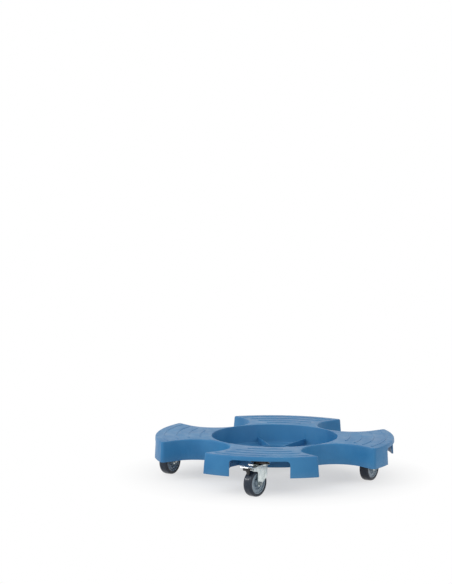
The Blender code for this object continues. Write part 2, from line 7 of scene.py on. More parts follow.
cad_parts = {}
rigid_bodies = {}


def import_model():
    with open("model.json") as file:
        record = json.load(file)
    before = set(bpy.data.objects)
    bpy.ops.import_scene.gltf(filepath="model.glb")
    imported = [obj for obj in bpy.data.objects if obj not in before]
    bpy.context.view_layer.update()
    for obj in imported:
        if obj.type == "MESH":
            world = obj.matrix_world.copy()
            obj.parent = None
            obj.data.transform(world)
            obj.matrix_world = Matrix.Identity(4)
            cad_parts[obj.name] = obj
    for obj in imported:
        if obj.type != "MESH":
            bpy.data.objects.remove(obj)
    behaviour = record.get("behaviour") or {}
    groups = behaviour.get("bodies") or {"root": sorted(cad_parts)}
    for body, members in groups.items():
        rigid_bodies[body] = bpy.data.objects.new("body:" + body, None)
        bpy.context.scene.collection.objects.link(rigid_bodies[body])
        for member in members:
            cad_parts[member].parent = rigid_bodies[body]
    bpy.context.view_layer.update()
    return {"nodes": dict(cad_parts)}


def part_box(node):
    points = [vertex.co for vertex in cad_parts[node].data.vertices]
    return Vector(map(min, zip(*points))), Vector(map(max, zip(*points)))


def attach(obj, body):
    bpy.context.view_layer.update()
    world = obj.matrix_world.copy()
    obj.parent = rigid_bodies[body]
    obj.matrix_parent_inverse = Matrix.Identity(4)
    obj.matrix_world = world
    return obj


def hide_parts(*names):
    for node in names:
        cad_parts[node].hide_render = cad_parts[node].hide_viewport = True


for old in list(bpy.data.objects):
    bpy.data.objects.remove(old, do_unlink=True)

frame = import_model()
print("frame loaded with", len(frame["nodes"]), "parts")

sides = ("front", "right", "back", "left")
brakedSides = ("front", "back")
quarterTurn = math.pi / 2
quarters = [quarterTurn * i for i in range(4)]
mergeDistance = 0.00001  # points this close become one
levelWithin = 0.00005  # an edge this close to a height lies on it
cutPast = 0.002  # how far a cutter stands out of what it cuts
farPast = 0.01  # the same where there is plenty of room
cornerSteps = 5  # faces in a rounded corner


def asObject(bm, name):
    # writes the bmesh to an object in the scene
    mesh = bpy.data.meshes.new(name)
    bm.to_mesh(mesh)
    bm.free()
    obj = bpy.data.objects.new(name, mesh)
    bpy.context.scene.collection.objects.link(obj)
    return obj


def tidyMesh(bm):
    bmesh.ops.remove_doubles(bm, verts=bm.verts, dist=mergeDistance)
    bmesh.ops.dissolve_degenerate(bm, edges=bm.edges, dist=mergeDistance)
    bmesh.ops.recalc_face_normals(bm, faces=bm.faces)
    return bm


def shaped(bm, *steps):
    # runs Boolean steps such as ("UNION", tool) and gives the result back
    body = asObject(bm, "body")
    tools = []
    for operation, tool in steps:
        tools.append(asObject(tool, "tool"))
        modifier = body.modifiers.new(operation.lower(), "BOOLEAN")
        modifier.operation = operation
        modifier.solver = "EXACT"
        modifier.object = tools[-1]
    graph = bpy.context.evaluated_depsgraph_get()
    done = body.evaluated_get(graph).to_mesh()
    result = bmesh.new()
    result.from_mesh(done)
    body.evaluated_get(graph).to_mesh_clear()
    for obj in [body, *tools]:
        bpy.data.meshes.remove(obj.data, do_unlink=True)
    return tidyMesh(result)


def gathered(parts):
    # several bmeshes put into one
    result = bmesh.new()
    for part in parts:
        mesh = bpy.data.meshes.new("part")
        part.to_mesh(mesh)
        part.free()
        result.from_mesh(mesh)
        bpy.data.meshes.remove(mesh)
    return result


def turnedBy(bm, angle):
    # turned about Z
    turn = Matrix.Rotation(angle, 3, "Z")
    bmesh.ops.rotate(bm, verts=bm.verts, cent=(0, 0, 0), matrix=turn)
    return bm


def copyTurned(bm, angles):
    # copies turned about Z, in one bmesh
    copies = [turnedBy(bm.copy(), angle) for angle in angles]
    bm.free()
    return gathered(copies)


def roundCorner(bm, vert, radius, segments):
    # one corner of a wire or a lone face, rounded to a true radius
    toEnds = [edge.other_vert(vert).co - vert.co for edge in vert.link_edges]
    reach = radius / math.tan(toEnds[0].angle(toEnds[1]) / 2)
    bmesh.ops.bevel(
        bm, geom=[vert], offset=reach, offset_type="OFFSET", segments=segments,
        profile=0.5, affect="VERTICES", material=-1,
    )


def roundEdges(bm, picked, radius, segments=3):
    bmesh.ops.bevel(
        bm, geom=picked, offset=radius, offset_type="OFFSET", segments=segments,
        profile=0.5, affect="EDGES", material=-1, clamp_overlap=True,
    )
    return tidyMesh(bm)


def sharpEdges(bm, least, wanted=None):
    # edges that bend by more than least degrees, where wanted(middle of the edge) agrees
    bm.normal_update()
    found = []
    for edge in bm.edges:
        if len(edge.link_faces) != 2 or edge.calc_face_angle(0) < math.radians(least):
            continue
        middle = (edge.verts[0].co + edge.verts[1].co) / 2
        if wanted is None or wanted(middle):
            found.append(edge)
    return found


def wire(points, closed):
    # (x, z, corner radius) points in the XZ plane
    bm = bmesh.new()
    corners = [bm.verts.new((x, 0, z)) for x, z, *_ in points]
    pairs = list(zip(corners, corners[1:]))
    if closed:
        pairs.append((corners[-1], corners[0]))
    for pair in pairs:
        bm.edges.new(pair)
    for corner, point in zip(corners, points):
        if len(point) > 2 and point[2]:
            roundCorner(bm, corner, point[2], cornerSteps)
    return bm


def lathe(points, steps=64, closed=False):
    # a profile of (radius, height, corner radius) turned about Z
    bm = wire(points, closed)
    bmesh.ops.spin(
        bm, geom=bm.verts[:] + bm.edges[:], cent=(0, 0, 0), axis=(0, 0, 1),
        dvec=(0, 0, 0), angle=2 * math.pi, steps=steps, use_merge=True,
    )
    return tidyMesh(bm)


def plate(corners, low, high, segments=cornerSteps):
    # (x, y, corner radius) corners of a flat plate between two heights
    bm = bmesh.new()
    verts = [bm.verts.new((x, y, low)) for x, y, *_ in corners]
    bm.faces.new(verts)
    for vert, corner in zip(verts, corners):
        if len(corner) > 2 and corner[2]:
            roundCorner(bm, vert, corner[2], segments)
    raised = bmesh.ops.extrude_face_region(bm, geom=bm.faces[:])
    top = [item for item in raised["geom"] if isinstance(item, bmesh.types.BMVert)]
    bmesh.ops.translate(bm, verts=top, vec=(0, 0, high - low))
    return tidyMesh(bm)


def box(low, high, rounding=0, segments=2):
    (x0, y0, z0), (x1, y1, z1) = low, high
    bm = plate([(x0, y0), (x1, y0), (x1, y1), (x0, y1)], z0, z1)
    return roundEdges(bm, bm.edges[:], rounding, segments) if rounding else bm


def rod(radius, low, high, steps=32, centre=(0, 0)):
    bm = bmesh.new()
    bmesh.ops.create_cone(
        bm, cap_ends=True, segments=steps, radius1=radius, radius2=radius, depth=high - low,
    )
    bmesh.ops.translate(bm, verts=bm.verts, vec=(*centre, (low + high) / 2))
    return bm


def turnedTo(bm, matrix):
    bmesh.ops.transform(bm, matrix=matrix, verts=bm.verts)
    return bm


acrossAxle = Matrix.Rotation(quarterTurn, 4, "X")  # lays a shape that stands on Z along Y


def nodeLook(name, metallic=0.0):
    # an empty Principled material with its object coordinates
    material = bpy.data.materials.new(name)
    material.use_nodes = True
    nodes, links = material.node_tree.nodes, material.node_tree.links
    shader = nodes["Principled BSDF"]
    shader.inputs["Metallic"].default_value = metallic
    place = nodes.new("ShaderNodeTexCoord")
    return material, nodes, links, shader, place.outputs["Object"]


def noise(nodes, links, place, scale, detail, roughness=0.55, stretch=(1, 1, 1)):
    mapping = nodes.new("ShaderNodeMapping")
    mapping.inputs["Scale"].default_value = stretch
    links.new(place, mapping.inputs["Vector"])
    texture = nodes.new("ShaderNodeTexNoise")
    texture.inputs["Scale"].default_value = scale
    texture.inputs["Detail"].default_value = detail
    texture.inputs["Roughness"].default_value = roughness
    links.new(mapping.outputs["Vector"], texture.inputs["Vector"])
    return texture.outputs["Fac"]


def ranged(nodes, links, value, low, high, toLow, toHigh):
    spread = nodes.new("ShaderNodeMapRange")
    spread.inputs["From Min"].default_value = low
    spread.inputs["From Max"].default_value = high
    spread.inputs["To Min"].default_value = toLow
    spread.inputs["To Max"].default_value = toHigh
    links.new(value, spread.inputs["Value"])
    return spread.outputs["Result"]


def mixed(nodes, links, amount, first, second):
    # first and second are colours or sockets
    mix = nodes.new("ShaderNodeMix")
    mix.data_type = "RGBA"
    sockets = [socket for socket in mix.inputs if socket.type == "RGBA"]
    for socket, colour in zip(sockets, (first, second)):
        if isinstance(colour, tuple):
            socket.default_value = (*colour, 1.0)
        else:
            links.new(colour, socket)
    links.new(amount, mix.inputs["Factor"])
    return next(socket for socket in mix.outputs if socket.type == "RGBA")


def bumped(nodes, links, shader, height, distance, strength):
    bump = nodes.new("ShaderNodeBump")
    bump.inputs["Strength"].default_value = strength
    bump.inputs["Distance"].default_value = distance
    links.new(height, bump.inputs["Height"])
    links.new(bump.outputs["Normal"], shader.inputs["Normal"])


shineSpan = (0.3, 0.7)  # the part of a noise's range that roughness follows

# in the looks, a noise is given by its scale and detail, and where needed roughness and stretch
bluePlasticLook = {
    "colour": (0.026, 0.170, 0.382),
    "pale": (0.046, 0.220, 0.446),
    "clouds": (9, 3),
    "cloudSpan": (0.35, 0.65),
    "scuff": (0.120, 0.310, 0.540),
    "scratches": (70, 6, 0.7, (1, 1, 7)),
    "scratchSpan": (0.66, 0.78),
    "scuffShare": 0.55,
    "dust": (0.300, 0.330, 0.340),
    "dustHeights": (0.057, 0.075),
    "dustShare": 0.07,
    "shine": (38, 5),
    "rough": (0.36, 0.52),
    "specular": 0.30,
    "grain": (1400, 2),
    "grainDepth": 0.00006,
    "grainStrength": 0.5,
}


def makeBluePlastic():
    look = bluePlasticLook
    material, nodes, links, shader, place = nodeLook("mouldedBluePlastic")
    clouds = noise(nodes, links, place, *look["clouds"])
    amount = ranged(nodes, links, clouds, *look["cloudSpan"], 0.0, 1.0)
    colour = mixed(nodes, links, amount, look["colour"], look["pale"])
    # short scuffs that run round the skirt
    scratches = noise(nodes, links, place, *look["scratches"])
    scuffed = ranged(nodes, links, scratches, *look["scratchSpan"], 0.0, look["scuffShare"])
    colour = mixed(nodes, links, scuffed, colour, look["scuff"])
    # a little dust low on the skirt
    height = nodes.new("ShaderNodeSeparateXYZ")
    links.new(place, height.inputs["Vector"])
    low = ranged(nodes, links, height.outputs["Z"], *look["dustHeights"], look["dustShare"], 0.0)
    colour = mixed(nodes, links, low, colour, look["dust"])
    links.new(colour, shader.inputs["Base Color"])
    shine = noise(nodes, links, place, *look["shine"])
    shine = ranged(nodes, links, shine, *shineSpan, *look["rough"])
    links.new(shine, shader.inputs["Roughness"])
    shader.inputs["Specular IOR Level"].default_value = look["specular"]
    grain = noise(nodes, links, place, *look["grain"])
    bumped(nodes, links, shader, grain, look["grainDepth"], look["grainStrength"])
    return material


zincLook = {
    "patches": (45, 4),
    "patchSpan": (0.35, 0.65),
    "shine": (120, 5),
    "rolled": (260, 3, 0.6, (1, 1, 4)),
    "rolledDepth": 0.00008,
    "rolledStrength": 0.35,
}
zincFinishes = {  # the bright colour, the dull colour and the range of roughness
    "brightZincSheet": ((0.80, 0.85, 0.84), (0.56, 0.63, 0.63), (0.24, 0.40)),
    # the caster plates' near-black colour is painted shade, for the shade under the deck's band
    "plateZincPaintedShade": ((0.12, 0.115, 0.11), (0.07, 0.068, 0.066), (0.36, 0.52)),
    "polishedZincLever": ((0.96, 0.97, 0.97), (0.86, 0.89, 0.89), (0.20, 0.34)),
    # the swivel race's near-black colour is painted shade, for the shade under the deck's band
    "raceSteelPaintedShade": ((0.080, 0.072, 0.070), (0.040, 0.036, 0.036), (0.34, 0.50)),
    "darkZincFixings": ((0.20, 0.195, 0.19), (0.12, 0.12, 0.118), (0.28, 0.46)),
    "axleBoltZinc": ((0.36, 0.39, 0.40), (0.22, 0.25, 0.26), (0.22, 0.40)),
}


def makeZinc(name):
    look, (bright, dull, rough) = zincLook, zincFinishes[name]
    material, nodes, links, shader, place = nodeLook(name, 1.0)
    patches = noise(nodes, links, place, *look["patches"])
    patch = ranged(nodes, links, patches, *look["patchSpan"], 0.0, 1.0)
    colour = mixed(nodes, links, patch, bright, dull)
    links.new(colour, shader.inputs["Base Color"])
    shine = noise(nodes, links, place, *look["shine"])
    shine = ranged(nodes, links, shine, *shineSpan, *rough)
    links.new(shine, shader.inputs["Roughness"])
    rolled = noise(nodes, links, place, *look["rolled"])
    bumped(nodes, links, shader, rolled, look["rolledDepth"], look["rolledStrength"])
    return material


rubberLook = {
    "colour": (0.015, 0.026, 0.043),
    "worn": (0.036, 0.043, 0.061),
    "wear": (60, 5),
    "wearSpan": (0.35, 0.7),
    "dust": (0.13, 0.13, 0.15),
    "specks": (420, 3),
    "speckSpan": (0.62, 0.72),
    "speckShare": 0.35,
    "shine": (90, 4),
    "rough": (0.16, 0.34),
    "specular": 0.28,
    "grain": (700, 3),
    "grainDepth": 0.00005,
    "grainStrength": 0.3,
}


def makeRubber():
    look = rubberLook
    material, nodes, links, shader, place = nodeLook("greyTreadRubber")
    wear = noise(nodes, links, place, *look["wear"])
    wear = ranged(nodes, links, wear, *look["wearSpan"], 0.0, 1.0)
    colour = mixed(nodes, links, wear, look["colour"], look["worn"])
    specks = noise(nodes, links, place, *look["specks"])
    specks = ranged(nodes, links, specks, *look["speckSpan"], 0.0, look["speckShare"])
    colour = mixed(nodes, links, specks, colour, look["dust"])
    links.new(colour, shader.inputs["Base Color"])
    shine = noise(nodes, links, place, *look["shine"])
    shine = ranged(nodes, links, shine, *shineSpan, *look["rough"])
    links.new(shine, shader.inputs["Roughness"])
    shader.inputs["Specular IOR Level"].default_value = look["specular"]
    grain = noise(nodes, links, place, *look["grain"])
    bumped(nodes, links, shader, grain, look["grainDepth"], look["grainStrength"])
    return material


plasticLook = {
    "clouds": (55, 4),
    "cloudSpan": (0.35, 0.65),
    "shine": (130, 4),
    "grain": (900, 2),
    "grainDepth": 0.00005,
    "grainStrength": 0.4,
}
plasticFinishes = {  # the colour, the pale colour and the range of roughness
    # the brake shoe's near-black colour is painted shade, for the shade under the foot plate
    "shoeBlackPaintedShade": ((0.010, 0.010, 0.011), (0.018, 0.018, 0.019), (0.40, 0.55)),
    "greyWheelPlastic": ((0.25, 0.32, 0.375), (0.32, 0.395, 0.45), (0.34, 0.48)),
    "bushNylon": ((0.70, 0.70, 0.66), (0.80, 0.80, 0.77), (0.40, 0.52)),
}


def makePlastic(name):
    look, (plain, pale, rough) = plasticLook, plasticFinishes[name]
    material, nodes, links, shader, place = nodeLook(name)
    clouds = noise(nodes, links, place, *look["clouds"])
    clouds = ranged(nodes, links, clouds, *look["cloudSpan"], 0.0, 1.0)
    links.new(mixed(nodes, links, clouds, plain, pale), shader.inputs["Base Color"])
    shine = noise(nodes, links, place, *look["shine"])
    shine = ranged(nodes, links, shine, *shineSpan, *rough)
    links.new(shine, shader.inputs["Roughness"])
    grain = noise(nodes, links, place, *look["grain"])
    bumped(nodes, links, shader, grain, look["grainDepth"], look["grainStrength"])
    return material


bluePlastic = makeBluePlastic()
zincSheet = makeZinc("brightZincSheet")
shadedPlateZinc = makeZinc("plateZincPaintedShade")
zincLever = makeZinc("polishedZincLever")
shadedRaceSteel = makeZinc("raceSteelPaintedShade")
zincFixings = makeZinc("darkZincFixings")
axleZinc = makeZinc("axleBoltZinc")
treadRubber = makeRubber()
shoePaintedShade = makePlastic("shoeBlackPaintedShade")
corePlastic = makePlastic("greyWheelPlastic")
bushNylon = makePlastic("bushNylon")
print("materials made")


def addPiece(bm, name, body, node, material, smoothTo=32):
    # the finished piece stands for one CAD part and rides on its body
    tidyMesh(bm)
    obj = asObject(bm, name)
    obj.data.materials.append(material)
    obj.data.shade_smooth()
    obj.data.set_sharp_from_angle(angle=math.radians(smoothTo))
    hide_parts(node)
    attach(obj, body)
    return obj


deck = {
    "radius": 0.3410,
    "top": 0.1145,
    "bottom": 0.057,
    "wall": 0.0045,
    "lean": 0.00298,  # how far the lobes' ends lean in by the top
    "notchLean": 0.00426,  # the same for the notches' side walls
    "topRound": 0.0035,
    "underLean": 0.96,  # the hollow's share of the leans
    "underRound": 0.0015,
    "rimRound": 0.0008,
    "rimInside": 0.012,  # the rounded lower rim starts this far inside the notches' floor
    "rimDepth": 0.0042,  # an arch edge is rounded where it is this close to the skirt's face
    "lobeSteps": 28,
    "notchHalfWidth": 0.0930,
    "notchDepth": 0.188,
    "notchBend": 0.087,
    "notchSteps": 14,
    "notchInside": 0.02,  # a corner further in than this is the notch's own
    "mouthBend": 0.010,
    "archHalfWidth": 0.0843,
    "archTop": 0.1032,
    "archBend": 0.011,
    "archCut": 0.3215,
    "wellRing": 0.1845,
    "wellRadius": 0.1785,
    "wellLean": 0.002,
    "wellFoot": 0.004,
    "wellRim": 0.001,  # the round on the ring's lower rim
    "wellLip": 0.0014,
    "wellSteps": 128,
    "ribHeight": 0.016,
    "ribCount": 8,
    "ribRound": 0.0009,
    "hubRadius": 0.046,
    "hubRise": 0.001,  # above the ribs
    "hubDrain": 0.6,  # share of the hub's radius
    "drainCircle": 0.110,
    "drainRadius": 0.008,
    "web": 0.004,
    "webRound": 0.0006,
    "cornerWeb": ((-0.1003, -0.1999), (-0.0790, -0.1630)),  # from notch wall to well ring
    "cornerWebLean": 0.0084,
    "cornerWebFoot": 0.0008,
    "cornerWebRound": 0.0005,
    "gripRadii": (0.212, 0.246, 0.280, 0.314),
    "gripWidth": 0.0044,
    "gripHeight": 0.001,
    "gripRoot": 0.001,
    "gripRound": 0.0009,
    "gripSteps": 20,
    "gripMargin": 0.014,
    "casterCircle": 0.2833,
    "padHalf": 0.036,
    "padBottom": 0.1003,
    "padWebDrop": 0.0033,  # how far the webs reach below the pad
    "padWebOffset": 0.028,
    "padWebRoot": 0.003,
    "kingRecess": (0.008, 0.095, 0.104),  # a hole's radius and the heights it runs between
    "screwHole": (0.0028, 0.095, 0.1116),
    "screwOffset": 0.0235,  # the casters' plates have the same
}


def deckPlan(radius, half, depth, notchBend, mouthBend, height):
    # four spun lobes with a rounded notch between each two, as one closed wire
    lobeHalf = quarterTurn / 2 - math.asin(half / radius)
    bm = bmesh.new()
    start = bm.verts.new((radius * math.cos(lobeHalf), -radius * math.sin(lobeHalf), height))
    spun = bmesh.ops.spin(
        bm, geom=[start], cent=(0, 0, 0), axis=(0, 0, 1), dvec=(0, 0, 0),
        angle=2 * lobeHalf, steps=deck["lobeSteps"],
    )
    last = [item for item in spun["geom_last"] if isinstance(item, bmesh.types.BMVert)][0]
    along, across = Vector((1, 1, 0)).normalized(), Vector((-1, 1, 0)).normalized()
    nextLobe = Vector((-start.co.y, start.co.x, 0))
    for spot in (along * depth - across * half, along * depth + across * half, nextLobe):
        corner = bm.verts.new((spot.x, spot.y, height))
        bm.edges.new((last, corner))
        last = corner
    bmesh.ops.spin(
        bm, geom=bm.verts[:] + bm.edges[:], cent=(0, 0, 0), axis=(0, 0, 1), dvec=(0, 0, 0),
        angle=3 * quarterTurn, steps=3, use_duplicate=True,
    )
    bmesh.ops.remove_doubles(bm, verts=bm.verts, dist=mergeDistance)
    # twice x times y tells the corners at a notch's mouth from the lobes' other points
    inside, mouth = radius - deck["notchInside"], abs(radius**2 - 2 * half**2)
    for vert in bm.verts[:]:
        if math.hypot(vert.co.x, vert.co.y) < inside:
            roundCorner(bm, vert, notchBend, deck["notchSteps"])
        elif abs(abs(vert.co.x * vert.co.y) * 2 - mouth) < mergeDistance:
            roundCorner(bm, vert, mouthBend, cornerSteps)
    return bm


def deckBlank(inset, low, high, share):
    # the deck's plan as a solid whose walls lean in; share is the part of the lean it has
    radius, half = deck["radius"] - inset, deck["notchHalfWidth"] + inset
    depth, bend = deck["notchDepth"] - inset, deck["notchBend"] + inset
    mouth = deck["mouthBend"] - inset
    lean, notchLean = deck["lean"] * share, deck["notchLean"] * share
    lower = deckPlan(radius, half, depth, bend, mouth, low)
    upper = deckPlan(
        radius - lean, half + notchLean, depth - lean, bend + notchLean, mouth - lean, high
    )
    bm = gathered([lower, upper])
    bmesh.ops.bridge_loops(bm, edges=bm.edges[:])
    bmesh.ops.holes_fill(bm, edges=[edge for edge in bm.edges if edge.is_boundary], sides=0)
    return tidyMesh(bm)


def topEdges(bm, height):
    return sharpEdges(bm, 40, lambda middle: abs(middle.z - height) < levelWithin)


def makeDeckShell():
    bm = deckBlank(0, deck["bottom"], deck["top"], 1)
    roundEdges(bm, topEdges(bm, deck["top"]), deck["topRound"], 5)
    under = deck["top"] - deck["wall"]
    hollow = deckBlank(deck["wall"], deck["bottom"] - cutPast, under, deck["underLean"])
    roundEdges(hollow, topEdges(hollow, under), deck["underRound"], 2)
    return shaped(bm, ("DIFFERENCE", hollow))


def addWell(bm):
    top, bottom, wall = deck["top"], deck["bottom"], deck["wall"]
    ringRadius, wellRadius, hubRadius = deck["wellRing"], deck["wellRadius"], deck["hubRadius"]
    floor, lid = bottom + wall, top - wall / 2
    ring = lathe(
        [(0, lid), (ringRadius, lid), (ringRadius, bottom, deck["wellRim"]), (0, bottom)],
        deck["wellSteps"],
    )
    dish = lathe(
        [(0, top + farPast), (wellRadius, top + farPast), (wellRadius, top),
         (wellRadius - deck["wellLean"], floor, deck["wellFoot"]), (0, floor)],
        deck["wellSteps"],
    )
    ribTop, ribRound, half = floor + deck["ribHeight"], deck["ribRound"], deck["web"] / 2
    rib = box((hubRadius - half, -half, floor - half), (wellRadius + half, half, ribTop), ribRound)
    step = 2 * math.pi / deck["ribCount"]
    ribs = copyTurned(rib, [(i + 0.5) * step for i in range(deck["ribCount"])])
    inner, hubTop = hubRadius - deck["web"], ribTop + deck["hubRise"]
    hub = lathe(
        [(hubRadius, hubTop, ribRound), (hubRadius, floor - half), (inner, floor - half),
         (inner, hubTop, ribRound)],
        64, True,
    )
    return shaped(bm, ("UNION", ring), ("DIFFERENCE", dish), ("UNION", ribs), ("UNION", hub))


def cornerWeb(side):
    # a web across the narrow corner between the notch's wall and the well's ring
    start, end = (Vector((-side * x, y)) for x, y in deck["cornerWeb"])
    along = (end - start).normalized()
    across = Vector((-along.y, along.x)) * deck["web"] / 2
    corners = [start - across, end - across, end + across, start + across]
    low, high = deck["bottom"] + deck["cornerWebFoot"], deck["top"] - deck["wall"] / 2
    bm = plate([tuple(spot) for spot in corners], low, high)
    for vert in bm.verts:
        if vert.co.z > low + deck["wall"] and (vert.co.xy - end).length > deck["web"]:
            vert.co.xy += along * deck["cornerWebLean"]
    return roundEdges(bm, bm.edges[:], deck["cornerWebRound"], 2)


def addCasterSeats(bm):
    centre, pad, half = -deck["casterCircle"], deck["padHalf"], deck["web"] / 2
    low, under = deck["padBottom"] - deck["padWebDrop"], deck["top"] - deck["wall"] / 2
    notchHalf = deck["notchHalfWidth"] + deck["notchLean"]
    reach = deck["casterCircle"] - math.sqrt(2) * notchHalf - deck["wall"] / 2
    pads = box(
        (-pad, centre - pad, deck["padBottom"]), (pad, centre + pad, under), deck["webRound"]
    )
    inner, outer = -deck["wellRing"] + half, -deck["radius"] + deck["wall"]
    spans = [
        (-reach, centre - half, half - pad, centre + half),
        (pad - half, centre - half, reach, centre + half),
    ]
    for side in (-deck["padWebOffset"], deck["padWebOffset"]):
        west, east = side - half, side + half
        spans.append((west, centre + pad - half, east, inner + deck["padWebRoot"]))
        spans.append((west, outer, east, centre - pad + half))
    webs = [box((x0, y0, low), (x1, y1, under), deck["webRound"]) for x0, y0, x1, y1 in spans]
    corners = gathered([cornerWeb(-1), cornerWeb(1)])
    return shaped(
        bm, ("UNION", copyTurned(pads, quarters)), ("UNION", copyTurned(gathered(webs), quarters)),
        ("UNION", copyTurned(corners, quarters)),
    )


def addGrips(bm):
    # low rounded ribs on the lobes, so that a load doesn't slide
    grips = []
    low, high = deck["top"] - deck["gripRoot"], deck["top"] + deck["gripHeight"]
    edge, bend = deck["gripWidth"] / 2, deck["gripRound"]
    notchHalf = deck["notchHalfWidth"] + deck["notchLean"]
    for radius in deck["gripRadii"]:
        half = quarterTurn / 2 - math.asin((notchHalf + deck["gripMargin"]) / radius)
        inner, outer = radius - edge, radius + edge
        grip = wire([(inner, low), (outer, low), (outer, high, bend), (inner, high, bend)], True)
        bmesh.ops.edgeloop_fill(grip, edges=grip.edges[:])
        turnedBy(grip, -half)
        bmesh.ops.spin(
            grip, geom=grip.verts[:] + grip.edges[:] + grip.faces[:], cent=(0, 0, 0),
            axis=(0, 0, 1), dvec=(0, 0, 0), angle=2 * half, steps=deck["gripSteps"],
        )
        grips.append(tidyMesh(grip))
    return shaped(bm, ("UNION", copyTurned(gathered(grips), quarters)))


def cutDeck(bm):
    # the arches over the casters, the drains, and the seats' screw holes
    half, top, bend = deck["archHalfWidth"], deck["archTop"], deck["archBend"]
    below = deck["bottom"] - farPast
    arch = plate(
        [(-half, below), (half, below), (half, top, bend), (-half, top, bend)],
        deck["archCut"], deck["radius"] + farPast,
    )
    arches = copyTurned(turnedTo(arch, acrossAxle), quarters)
    low, high = deck["bottom"] - cutPast, deck["bottom"] + deck["wall"] + cutPast
    holes = [rod(deck["hubRadius"] * deck["hubDrain"], low, high, 48)]
    for i in range(deck["ribCount"]):
        angle = 2 * math.pi * i / deck["ribCount"]
        spot = (deck["drainCircle"] * math.cos(angle), deck["drainCircle"] * math.sin(angle))
        holes.append(rod(deck["drainRadius"], low, high, 28, spot))
    seat = [rod(*deck["kingRecess"], 28, (0, -deck["casterCircle"]))]
    for x in (-deck["screwOffset"], deck["screwOffset"]):
        for y in (-deck["screwOffset"], deck["screwOffset"]):
            seat.append(rod(*deck["screwHole"], 12, (x, y - deck["casterCircle"])))
    holes.append(copyTurned(gathered(seat), quarters))
    return shaped(bm, ("DIFFERENCE", arches), ("DIFFERENCE", gathered(holes)))


def finishDeckEdges(bm):
    # rounds the skirt's lower rim, the arches' outer edges and the well's lip
    slack = 0.0005  # how far a rounded corner's edges may stray from the outline
    flush = 0.00002  # how far an edge may be from a height that it lies on
    skin = deck["radius"] - deck["rimDepth"]
    bend = deck["archBend"] + slack

    def onRim(middle):
        radius = math.hypot(middle.x, middle.y)
        if abs(middle.z - deck["bottom"]) < flush:
            return radius > deck["notchDepth"] - deck["rimInside"]
        across = min(abs(middle.x), abs(middle.y))
        onSide = abs(across - deck["archHalfWidth"]) < bend
        onArch = onSide or abs(middle.z - deck["archTop"]) < bend
        return onArch and radius > skin and middle.z < deck["archTop"] + slack

    def onLip(middle):
        radius = math.hypot(middle.x, middle.y)
        onTop = abs(middle.z - deck["top"]) < flush
        return onTop and abs(radius - deck["wellRadius"]) < slack

    roundEdges(bm, sharpEdges(bm, 50, onRim), deck["rimRound"], 2)
    return roundEdges(bm, sharpEdges(bm, 50, onLip), deck["wellLip"])


bm = addWell(makeDeckShell())
print("deck shell and well:", len(bm.faces), "faces")
bm = cutDeck(addGrips(addCasterSeats(bm)))
bm = finishDeckEdges(bm)
print("deck finished:", len(bm.faces), "faces")
addPiece(bm, "deckMoulding", "trolley_deck", "deck", bluePlastic)


# the caster's pieces are made in its own frame: X is the trail and Y the axle
caster = {
    "plateHalf": 0.030,
    "plateCorner": 0.006,
    "plateTop": 0.100,
    "plateThickness": 0.0025,
    "plateRound": 0.0004,
    "screwOffset": 0.0235,
    "screwTop": 0.1110,
    "screwHole": 0.003,
    "screwShank": 0.0024,
    "screwHead": 0.0046,
    "screwHeadHeight": 0.0032,
    "screwSlot": 0.00045,  # half the width of the cross slot
    "raceRadius": 0.023,
    "raceBottom": 0.0883,
    "kingPin": 0.005,
    "forkHalfWidth": 0.017,
    "forkBack": -0.015,
    "forkBackCut": 0.066,  # the back of the fork is open below this
    "sheet": 0.0025,
    "legTip": 0.0078,
    "crownTop": 0.0880,
    "crownThickness": 0.0027,
    "crownFront": 0.026,
    "joggleDepth": 0.0009,  # the legs step in by this much
    "joggleSpan": (0.0074, 0.0104),
    "joggleBend": 0.0025,
    "trail": 0.0292,
    "gap": 0.0003,
    "fit": 0.00015,  # the gap round an axle or a pin in the fork
}

wheel = {
    "radius": 0.0375,
    "halfWidth": 0.0135,
    "sideRoom": 0.0008,
    "coreRadius": 0.0292,
    "coreHalfWidth": 0.0122,
    "hubRadius": 0.0098,
    "hubHalfLength": 0.0140,
    "recess": 0.0045,  # half the core's width at its recess and at its ring
    "ring": 0.0092,
    "bushRadius": 0.006,
    "axleRadius": 0.003,
    "threadPitch": 0.0006,
    "nutAcross": 0.010,  # the bolt's head has the same
    "nutHeight": 0.0045,
    "headHeight": 0.0036,
    "boltEnd": 0.0058,  # past the fork's side
    "steps": 96,
}

brake = {
    "pinX": 0.0592,
    "pinZ": 0.0800,
    "pinRadius": 0.0018,
    "pinEnd": 0.0012,  # past the fork's side
    "bore": 0.0002,  # the gap round the pin in the lever
    "knuckle": 0.0034,
    "knuckleSpan": (0.0062, 0.0130),
    "knuckleWeb": 0.0004,  # the blocks above the knuckles are this much narrower
    "pedalHalfWidth": 0.014,
    "pedalSheet": 0.0018,
    "pedalEnds": (-0.0120, 0.0206),
    "tongueHalfWidth": 0.008,
    "tongueNeck": -0.0030,
    "shoeHalfWidth": 0.004,
    "shoeRound": 0.0004,
    "tabHalfWidth": 0.009,
    "tabRound": 0.0005,
}


def makeCasterPlate():
    half, corner, top = caster["plateHalf"], caster["plateCorner"], caster["plateTop"]
    low = top - caster["plateThickness"]
    signs = ((-1, -1), (1, -1), (1, 1), (-1, 1))
    bm = plate([(x * half, y * half, corner) for x, y in signs], low, top, 6)
    roundEdges(bm, sharpEdges(bm, 60), caster["plateRound"], 2)
    holes = [rod(caster["kingPin"] + caster["gap"], low - cutPast, top + cutPast)]
    for x in (-caster["screwOffset"], caster["screwOffset"]):
        for y in (-caster["screwOffset"], caster["screwOffset"]):
            holes.append(rod(caster["screwHole"], low - cutPast, top + cutPast, 20, (x, y)))
    return shaped(bm, ("DIFFERENCE", gathered(holes)))


